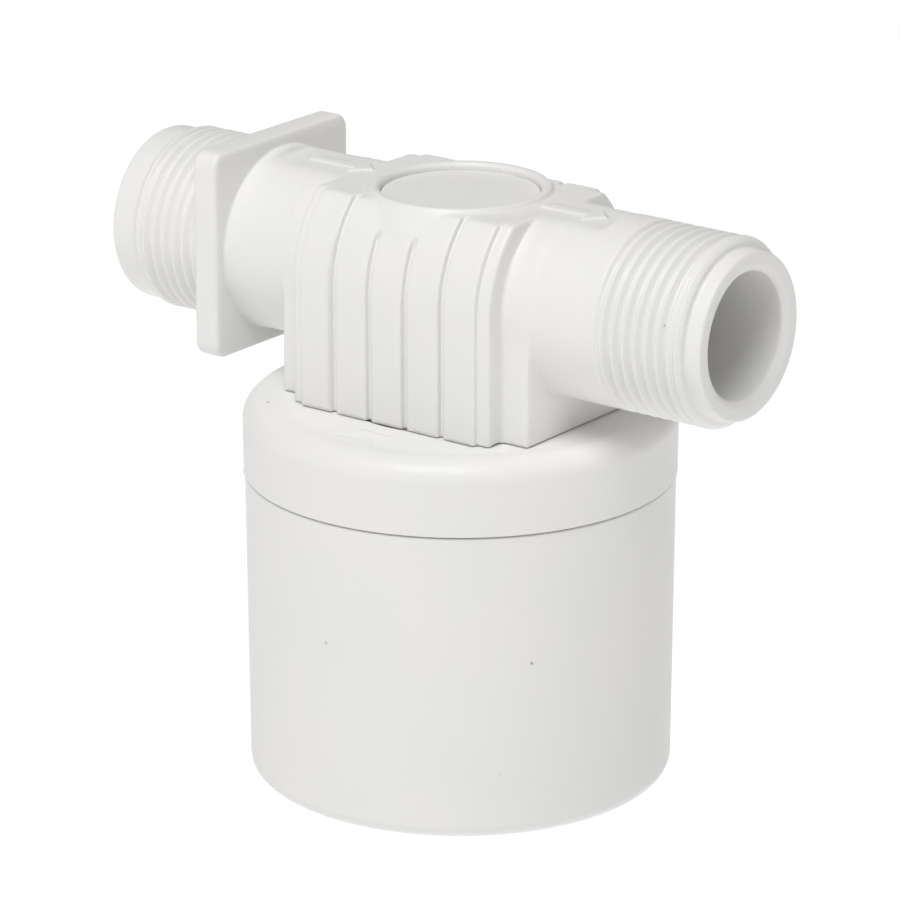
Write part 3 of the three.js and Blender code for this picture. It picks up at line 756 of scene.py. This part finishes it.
def inlet_strainer():
    grid = grid_of("inlet_strainer", FINE_STEP)
    rim, ledge, end = INLET_X + 1.1, INLET_X + 2.4, INLET_X + STRAINER_LENGTH
    profile = [(0, end), (7, end, 0.8), (7, ledge), (MOUTH_R - GAP, ledge), (MOUTH_R - GAP, rim)]
    profile += [(6.2, rim), (6.2, end - 0.8, 0.4), (0, end - 0.8)]
    up = grid.z - PIPE_Z
    field = turned_field(np.hypot(grid.y, up), grid.x, profile, 0.2)
    for slot_number in range(STRAINER_SLOTS):
        angle = slot_number * math.pi / STRAINER_SLOTS
        across = np.abs(math.cos(angle) * up - math.sin(angle) * grid.y) - 0.8
        slot = common(across, between(grid.x, ledge + 1.2, end - 2), 0.3)
        field = removed(field, slot, 0.25)
    return moulded("strainer_basket", grid, field)


def pilot_cover():
    grid = grid_of("pilot_cover", FINE_STEP * 1.2)
    spigot = CYLINDER_R - GAP
    top = COVER_Z + COVER_THICKNESS
    profile = [(0, COVER_Z), (COVER_R, COVER_Z), (COVER_R, top), (spigot, top)]
    profile += [(spigot, SPIGOT_TOP_Z), (0, SPIGOT_TOP_Z)]
    field = turned_field(np.hypot(grid.x, grid.y), grid.z, profile, 0.3)
    nozzle = np.hypot(grid.x - NOZZLE_X, grid.y)
    field = joined(field, rod(nozzle, grid.z, 3.2, COVER_Z - 2.6, COVER_Z + 1, 0.3), 0.4)
    off_x, off_z = grid.x - PIVOT[0], grid.z - PIVOT[2]
    ear = np.where(off_z > 0, np.abs(off_x), np.hypot(off_x, off_z)) - 2.2
    inner = LEVER_HALF_WIDTH + GAP
    ears = common(np.maximum(ear, grid.z - COVER_Z - 1), between(np.abs(grid.y), inner, inner + 1.7), 0.3)
    field = joined(field, ears, 0.4)
    field = cross_pinned(grid, field, PIVOT[0], PIVOT[2])
    field = pierced(grid, field, NOZZLE_X, 0, 1.8, COVER_Z - 4, SPIGOT_TOP_Z + 1)
    for x, y in screw_centres():
        field = pierced(grid, field, x, y, COVER_HOLE_R, COVER_Z - 1, COVER_Z + 4)
    return moulded("pilot_cover_moulding", grid, field)


def pilot_cover_gasket():
    grid = grid_of("pilot_cover_gasket", FINE_STEP, 0.6)
    low = COVER_Z + COVER_THICKNESS + THIN
    profile = ring_profile(CYLINDER_R + GAP, COVER_R, low, SKIRT_END_Z - THIN)
    field = turned_field(np.hypot(grid.x, grid.y), grid.z, profile, 0.12)
    for x, y in screw_centres():
        field = pierced(grid, field, x, y, COVER_HOLE_R, low - 1, low + 2)
    return moulded("gasket_ring", grid, field)


def pilot_nozzle():
    top = SPIGOT_TOP_Z + 0.9
    head = SPIGOT_TOP_Z + THIN
    profile = [(0.4, NOZZLE_TIP_Z), (0.9, NOZZLE_TIP_Z), (NOZZLE_R, COVER_Z - 2.4)]
    profile += [(NOZZLE_R, head), (2.6, head), (2.6, top), (0.4, top)]
    return spun("nozzle_jet", profile, 0.12, centre=(NOZZLE_X, 0, 0))


def headed_pin(name, x, z):
    profile = [(0, -6.1), (1.5, -6.1), (1.5, -5.4), (PIN_R, -5.4), (PIN_R, 5.3)]
    profile += [(PIN_R - 0.3, 5.6), (0, 5.6)]
    return spun(name, profile, 0.15, axis=1, centre=(x, 0, z))


def float_retaining_ring():
    grid = grid_of("float_retaining_ring", FINE_STEP, 0.6)
    profile = ring_profile(SKIRT_R - 0.55, RING_HIGH[1], RING_LOW[2], RING_HIGH[2])
    field = turned_field(np.hypot(grid.x, grid.y), grid.z, profile, 0.2)
    opening = math.pi / 10
    wedge = np.abs(grid.y) * math.cos(opening) - grid.x * math.sin(opening)
    return moulded("snap_ring", grid, removed(field, wedge, 0.4))


def cover_screws():
    """Pan heads with straight slots, each one stopped at its own angle."""
    low = -SCREW_HEAD
    grid = Grid((-3, -3, low - 0.8), (3, 3, 9.4), FINE_STEP * 0.8)
    profile = [(0, low), (2.2, low, 0.7), (2.2, 0), (SCREW_R, 0), (SCREW_R, 7.6), (0, 8.6)]
    radial = np.hypot(grid.x, grid.y)
    field = turned_field(radial, grid.z, profile, 0.12)
    turn = grid.z / SCREW_PITCH - np.arctan2(grid.y, grid.x) / (2 * math.pi)
    off_centre = np.abs(turn - np.round(turn)) * SCREW_PITCH
    flank = off_centre - (radial - SCREW_ROOT_R) * 0.6
    thread = common(common(flank, SCREW_ROOT_R - radial, 0.05), between(grid.z, 0.8, 7.4), 0.1)
    field = removed(field, thread, 0.05)
    slot = common(np.abs(grid.y) - 0.35, grid.z - low - 0.6, 0.08)
    field = removed(field, slot, 0.1)
    first = moulded("cover_screw_fine_1", grid, field)
    screws = [first]
    for number in (2, 3, 4):
        copy = bpy.data.objects.new(f"cover_screw_fine_{number}", first.data)
        bpy.context.scene.collection.objects.link(copy)
        screws.append(copy)
    for screw, (x, y), angle in zip(screws, screw_centres(), SCREW_STOPS):
        screw.location = (x * MM, y * MM, (COVER_Z - THIN) * MM)
        screw.rotation_euler = (0, 0, angle)
    first.data.materials.append(STEEL)
    bpy.context.view_layer.update()
    for number, screw in enumerate(screws, 1):
        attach(screw, "valve")
        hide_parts(f"cover_screw_{number}")


# ---------------------------------------------------------------- lever


def pilot_lever():
    grid = grid_of("pilot_lever", FINE_STEP)
    x, z = grid.x - PIVOT[0], grid.z - PIVOT[2]
    arm = LINK_X - PIVOT[0]
    slot_end = arm + 0.76
    top, bottom = 0.9, -1.2
    bar = np.maximum(between(x, 0, arm - 2), between(z, bottom, top))
    outline = joined(np.hypot(x, z) - 2.0, bar, 0.8)
    eye = np.hypot(x - np.clip(x, arm - 1.6, slot_end), z) - 2.2
    outline = joined(outline, eye, 1.2)
    field = common(outline, np.abs(grid.y) - LEVER_HALF_WIDTH, 0.35)
    slot = np.hypot(x - np.clip(x, arm, slot_end), z) - PIN_R - 0.25
    field = removed(field, slot, 0.2)
    field = cross_pinned(grid, field, PIVOT[0], PIVOT[2])
    pocket = rod(np.hypot(grid.x - NOZZLE_X, grid.y), z, 2, bottom + 0.9, top + 1, 0.1)
    return moulded("lever_moulding", grid, removed(field, pocket, 0.15))


def pilot_seal():
    top = NOZZLE_TIP_Z - PIVOT[2] - THIN
    profile = [(0, -0.2), (1.8, -0.2), (1.8, top), (0, top)]
    return spun("pilot_pad", profile, 0.2, centre=(NOZZLE_X, 0, PIVOT[2]))


# ---------------------------------------------------------------- piston


def main_piston():
    grid = grid_of("main_piston", FINE_STEP * 1.2)
    wall = CYLINDER_R - GAP
    groove, low, high = CUP_GROOVE
    profile = [(0, POCKET_TOP), (8.4, POCKET_TOP), (8.4, PISTON_BOTTOM), (wall, PISTON_BOTTOM)]
    profile += [(wall, low), (groove, low), (groove, high), (wall, high)]
    profile += [(wall, PISTON_TOP, 0.5), (8.5, PISTON_TOP)]
    profile += [(8.5, PISTON_RECESS), (0, PISTON_RECESS)]
    field = turned_field(np.hypot(grid.x, grid.y), grid.z, profile, 0.25)
    field = pierced(grid, field, 0, 0, 1.5, POCKET_TOP - 1, PISTON_TOP)
    field = pierced(grid, field, 9.3, 0, 0.4, PISTON_BOTTOM - 1, PISTON_TOP + 1)
    return moulded("piston_moulding", grid, field)


def piston_cup_seal():
    groove, low, high = CUP_GROOVE
    inner, outer = groove + 0.15, CYLINDER_R - THIN
    low, high = low + 0.15, high - 0.15
    profile = [(inner, low), (inner + 0.45, low), ((inner + outer) / 2, high - 1), (outer - 0.45, low)]
    profile += [(outer, low), (outer - 0.2, high), (inner, high)]
    return spun("piston_lip_seal", profile, 0.15)


def washer_retainer():
    stem = PISTON_RECESS + THIN
    profile = [(0, POCKET_TOP - 1.4), (1.2, POCKET_TOP - 1.2), (1.2, stem), (2.7, stem), (2.7, SEAT_Z)]
    profile += [(4.8, SEAT_Z), (4.4, SEAT_Z + 1.2), (0, SEAT_Z + 1.8)]
    return spun("washer_button", profile, 0.25)


def seat_washer():
    profile = ring_profile(3, 8.2, PISTON_RECESS + THIN, SEAT_Z - THIN)
    return spun("seat_washer_disc", profile, 0.35)


def main_spring():
    """A round wire wound as a helix whose first and last turns lie closed."""
    turns, closed, sides = SPRING_TURNS, 1.0, 12
    steps = int(turns * 48)
    t = np.linspace(0, turns, steps)
    flat = 2.3 * SPRING_WIRE
    low, height = SPRING_LOW + SPRING_WIRE, SPRING_HIGH - SPRING_LOW - 2 * SPRING_WIRE
    lift = np.interp(t, [0, closed, turns - closed, turns], [0, flat, height - flat, height])
    swept = 2 * math.pi * t
    line = np.stack([SPRING_R * np.cos(swept), SPRING_R * np.sin(swept), low + lift], axis=1)
    along = np.gradient(line, axis=0)
    along /= np.linalg.norm(along, axis=1, keepdims=True)
    outward = line * [1, 1, 0]
    outward /= np.linalg.norm(outward, axis=1, keepdims=True)
    outward -= along * np.sum(outward * along, axis=1, keepdims=True)
    outward /= np.linalg.norm(outward, axis=1, keepdims=True)
    up = np.cross(along, outward)
    around = 2 * math.pi * np.arange(sides)[None, :, None] / sides
    normals = outward[:, None] * np.cos(around) + up[:, None] * np.sin(around)
    points = line[:, None] + SPRING_WIRE * normals
    index = np.arange(steps * sides).reshape(steps, sides)
    ahead = np.roll(index, -1, axis=1)
    walls = np.stack([index[:-1], index[1:], ahead[1:], ahead[:-1]], axis=-1).reshape(-1, 4)
    centres = np.stack([line[0], line[-1]])
    first, last = steps * sides, steps * sides + 1
    caps = [np.stack([np.full(sides, first), index[0], ahead[0]], axis=-1)]
    caps.append(np.stack([np.full(sides, last), ahead[-1], index[-1]], axis=-1))
    points = np.vstack([points.reshape(-1, 3), centres])
    ends = np.stack([-along[0], along[-1]])
    normals = np.vstack([normals.reshape(-1, 3), ends])
    return mesh_object("spring_wire", points, [np.concatenate(caps), walls], normals)


# ---------------------------------------------------------------- float


def lid_relief(points):
    """Two fine grooves in the lid's face, and the gate's pip low on its side."""
    x, y, z = points.T
    amount = np.zeros(len(points))
    for mark in MARK_Y:
        off = np.hypot(np.maximum(np.abs(x) - MARK_HALF_LENGTH, 0), y - mark)
        on_top = z > LID_DISH_Z - 0.5
        amount -= MARK_DEPTH * np.clip(1 - (off / MARK_HALF_WIDTH) ** 2, 0, 1) * on_top
    half_width, half_height, stand_out = GATE_PIP
    across = LID_R * (np.arctan2(y, x) - GATE_ANGLE)
    off = (across / half_width) ** 2 + ((z - GATE_Z) / half_height) ** 2
    on_side = np.hypot(x, y) > LID_R - 0.6
    amount += stand_out * np.clip(1 - off, 0, 1) * on_side
    return amount


def float_lid():
    lip = RING_HIGH[2] + FLOAT_TRAVEL + 0.2
    collar = WELL_R + WELL_WALL + GAP
    under = LID_UNDERSIDE_Z
    profile = [(LIP_INNER_R, lip), (WELL_R - GAP, lip), (WELL_R - GAP, under), (collar, under)]
    profile += [(collar, under - 5), (collar + 1.5, under - 5), (collar + 1.5, under)]
    profile += [(CUP_SPIGOT[0], under)]
    profile += [(CUP_SPIGOT[0], LID_SHOULDER_Z), (LID_WALL_INNER_R, LID_SHOULDER_Z)]
    profile += [(LID_WALL_INNER_R, SEAM_Z + SEAM_GAP), (LID_R, SEAM_Z + SEAM_GAP)]
    profile += [(LID_R, z) for z in np.arange(GATE_Z - 0.3, GATE_Z + 0.91, 0.15)]
    profile += [(LID_R + 0.08, LID_RIM_Z, 2.9), (27.3, LID_RIM_Z, 3.0), (25.1, LID_DISH_Z, 6.0)]
    for mark in sorted(MARK_Y):
        profile += [(r, LID_DISH_Z) for r in np.arange(-mark + 0.6, -mark - 0.32, -0.06)]
    profile += [(LIP_INNER_R, LID_DISH_Z, 0.4)]
    angles = np.linspace(-math.pi, math.pi, SPIN_STEPS, endpoint=False)
    by_gate = GATE_ANGLE + np.radians(np.arange(-1.4, 1.41, 0.2))
    by_marks = np.radians(np.arange(-99, -81, 0.35))
    angles = np.unique(np.round(np.concatenate([angles, by_gate, by_marks]), 6))
    return spun("float_lid_moulding", profile, 0.3, angles=angles, relief=lid_relief)


def float_well():
    grid = grid_of("float_well", STEP)
    outer = WELL_R + WELL_WALL
    floor = WELL_FLOOR_Z + 1.6
    top = LID_UNDERSIDE_Z - GAP
    profile = [(0, WELL_FLOOR_Z), (outer, WELL_FLOOR_Z, 1.0), (outer, top), (WELL_R, top)]
    profile += [(WELL_R, floor, 0.6), (0, floor)]
    field = turned_field(np.hypot(grid.x, grid.y), grid.z, profile, 0.3)
    off_x, off_z = grid.x - LINK_X, grid.z - PIVOT[2]
    spread = 2.0 + 0.8 * np.clip(-off_z / (PIVOT[2] - floor), 0, 1)
    outline = np.where(off_z > 0, np.hypot(off_x, off_z) - 2.0, np.abs(off_x) - spread)
    inner = LEVER_HALF_WIDTH + GAP
    outline = np.maximum(outline, floor - 0.8 - grid.z)
    arms = common(outline, between(np.abs(grid.y), inner, inner + 1.6), 0.3)
    field = cross_pinned(grid, joined(field, arms, 0.5), LINK_X, PIVOT[2])
    return moulded("float_well_moulding", grid, field)


def float_cup():
    inner, outer, top = CUP_SPIGOT
    profile = [(0, 0.35), (1.6, 0.35), (2.2, 0), (CUP_BASE_R, 0, 2.2), (CUP_TOP_R, SEAM_Z)]
    profile += [(outer, SEAM_Z), (outer, top), (inner, top), (inner - 0.2, CUP_FLOOR_Z, 1.5)]
    profile += [(0, CUP_FLOOR_Z)]
    return spun("float_cup_moulding", profile, 0.25)


def float_joint_seal():
    inner, _, top = CUP_SPIGOT
    profile = ring_profile(inner + THIN, LID_WALL_INNER_R - 0.2, top + 0.2, LID_SHOULDER_Z - 0.2)
    return spun("joint_seal_ring", profile, 0.4)


# ---------------------------------------------------------------- assembly

fit(valve_body(), "valve_body", "valve", WHITE)
fit(top_cover(), "top_cover", "valve", WHITE)
fit(top_cover_seal(), "top_cover_seal", "valve", RUBBER)
fit(inlet_strainer(), "inlet_strainer", "valve", GREY)
fit(pilot_cover(), "pilot_cover", "valve", WHITE)
fit(pilot_cover_gasket(), "pilot_cover_gasket", "valve", RUBBER)
fit(pilot_nozzle(), "pilot_nozzle", "valve", BRASS)
fit(float_retaining_ring(), "float_retaining_ring", "valve", GREY)
fit(headed_pin("lever_pin_turned", PIVOT[0], PIVOT[2]), "lever_pin", "valve", STEEL_PIN)
cover_screws()
fit(pilot_lever(), "pilot_lever", "lever", WHITE)
fit(pilot_seal(), "pilot_seal", "lever", RUBBER)
fit(main_piston(), "main_piston", "piston", WHITE)
fit(piston_cup_seal(), "piston_cup_seal", "piston", RUBBER)
fit(seat_washer(), "seat_washer", "piston", RUBBER)
fit(washer_retainer(), "washer_retainer", "piston", WHITE)
spring = main_spring()
fit(spring, "main_spring", "piston", STEEL)
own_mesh(spring)
fit(float_lid(), "float_lid", "float", WHITE)
fit(float_well(), "float_well", "float", WHITE)
fit(float_cup(), "float_cup", "float", WHITE)
fit(float_joint_seal(), "float_joint_seal", "float", RUBBER)
fit(headed_pin("link_pin_turned", LINK_X, PIVOT[2]), "link_pin", "float", STEEL_PIN)

# ---------------------------------------------------------------- camera, light and floor

# Camera and light are placed in metres. The floor is in millimetres, as the pieces are.
VIEW_AZIMUTH = math.radians(37.163)
VIEW_ELEVATION = math.radians(18.518)
VIEW_DISTANCE = 0.70341
VIEW_TARGET = Vector((0.0, 0.0, 0.04994))
LENS = 200.54
SENSOR_WIDTH = 36
SHIFT = (-0.0119, -0.0239)
CLIP = (0.01, 20)

FLOOR_HALF = 3000.0
FLOOR_GAP = 0.05
FLOOR_COLOUR = (0.03, 0.03, 0.03, 1)

KEY_PLACE = (0.12, -0.47, 0.93)
KEY_SIZE = 0.6
KEY_POWER = 6.4
WORLD_STRENGTH = 0.34


def add_camera():
    level = Vector((math.sin(VIEW_AZIMUTH), -math.cos(VIEW_AZIMUTH), 0))
    back = level * math.cos(VIEW_ELEVATION) + Vector((0, 0, math.sin(VIEW_ELEVATION)))
    camera = bpy.data.objects.new("camera", bpy.data.cameras.new("camera"))
    bpy.context.scene.collection.objects.link(camera)
    camera.data.sensor_width = SENSOR_WIDTH
    camera.data.lens = LENS
    camera.data.shift_x, camera.data.shift_y = SHIFT
    camera.data.clip_start, camera.data.clip_end = CLIP
    camera.location = VIEW_TARGET + back * VIEW_DISTANCE
    camera.rotation_mode = "QUATERNION"
    camera.rotation_quaternion = (-back).to_track_quat("-Z", "Y")
    bpy.context.scene.camera = camera


def add_floor():
    """A plain sheet just below the object, which gives its own light and so shows as pure white."""
    points = np.array([[-1, -1, 0], [1, -1, 0], [1, 1, 0], [-1, 1, 0]]) * FLOOR_HALF
    points[:, 2] -= FLOOR_GAP
    floor = mesh_object("floor", points, [np.array([[0, 1, 2, 3]])])
    graph = Graph("floor")
    graph.shader.inputs["Base Color"].default_value = FLOOR_COLOUR
    graph.shader.inputs["Roughness"].default_value = 0.9
    graph.shader.inputs["Specular IOR Level"].default_value = 0.0
    graph.shader.inputs["Emission Color"].default_value = (1, 1, 1, 1)
    graph.shader.inputs["Emission Strength"].default_value = 1.0
    floor.data.materials.append(graph.material)


def add_area(name, location, size, power, target=(0, 0, 0.05)):
    light = bpy.data.lights.new(name, "AREA")
    light.shape = "DISK"
    light.size = size
    light.energy = power
    lamp = bpy.data.objects.new(name, light)
    bpy.context.scene.collection.objects.link(lamp)
    lamp.location = location
    lamp.rotation_mode = "QUATERNION"
    lamp.rotation_quaternion = (Vector(target) - Vector(location)).to_track_quat("-Z", "Y")


def add_world():
    world = bpy.data.worlds.new("studio")
    world.use_nodes = True
    background = world.node_tree.nodes["Background"]
    background.inputs["Color"].default_value = (1, 1, 1, 1)
    background.inputs["Strength"].default_value = WORLD_STRENGTH
    bpy.context.scene.world = world


add_camera()
add_floor()
add_world()
add_area("key", KEY_PLACE, KEY_SIZE, KEY_POWER)
bpy.context.scene.view_settings.view_transform = "Standard"
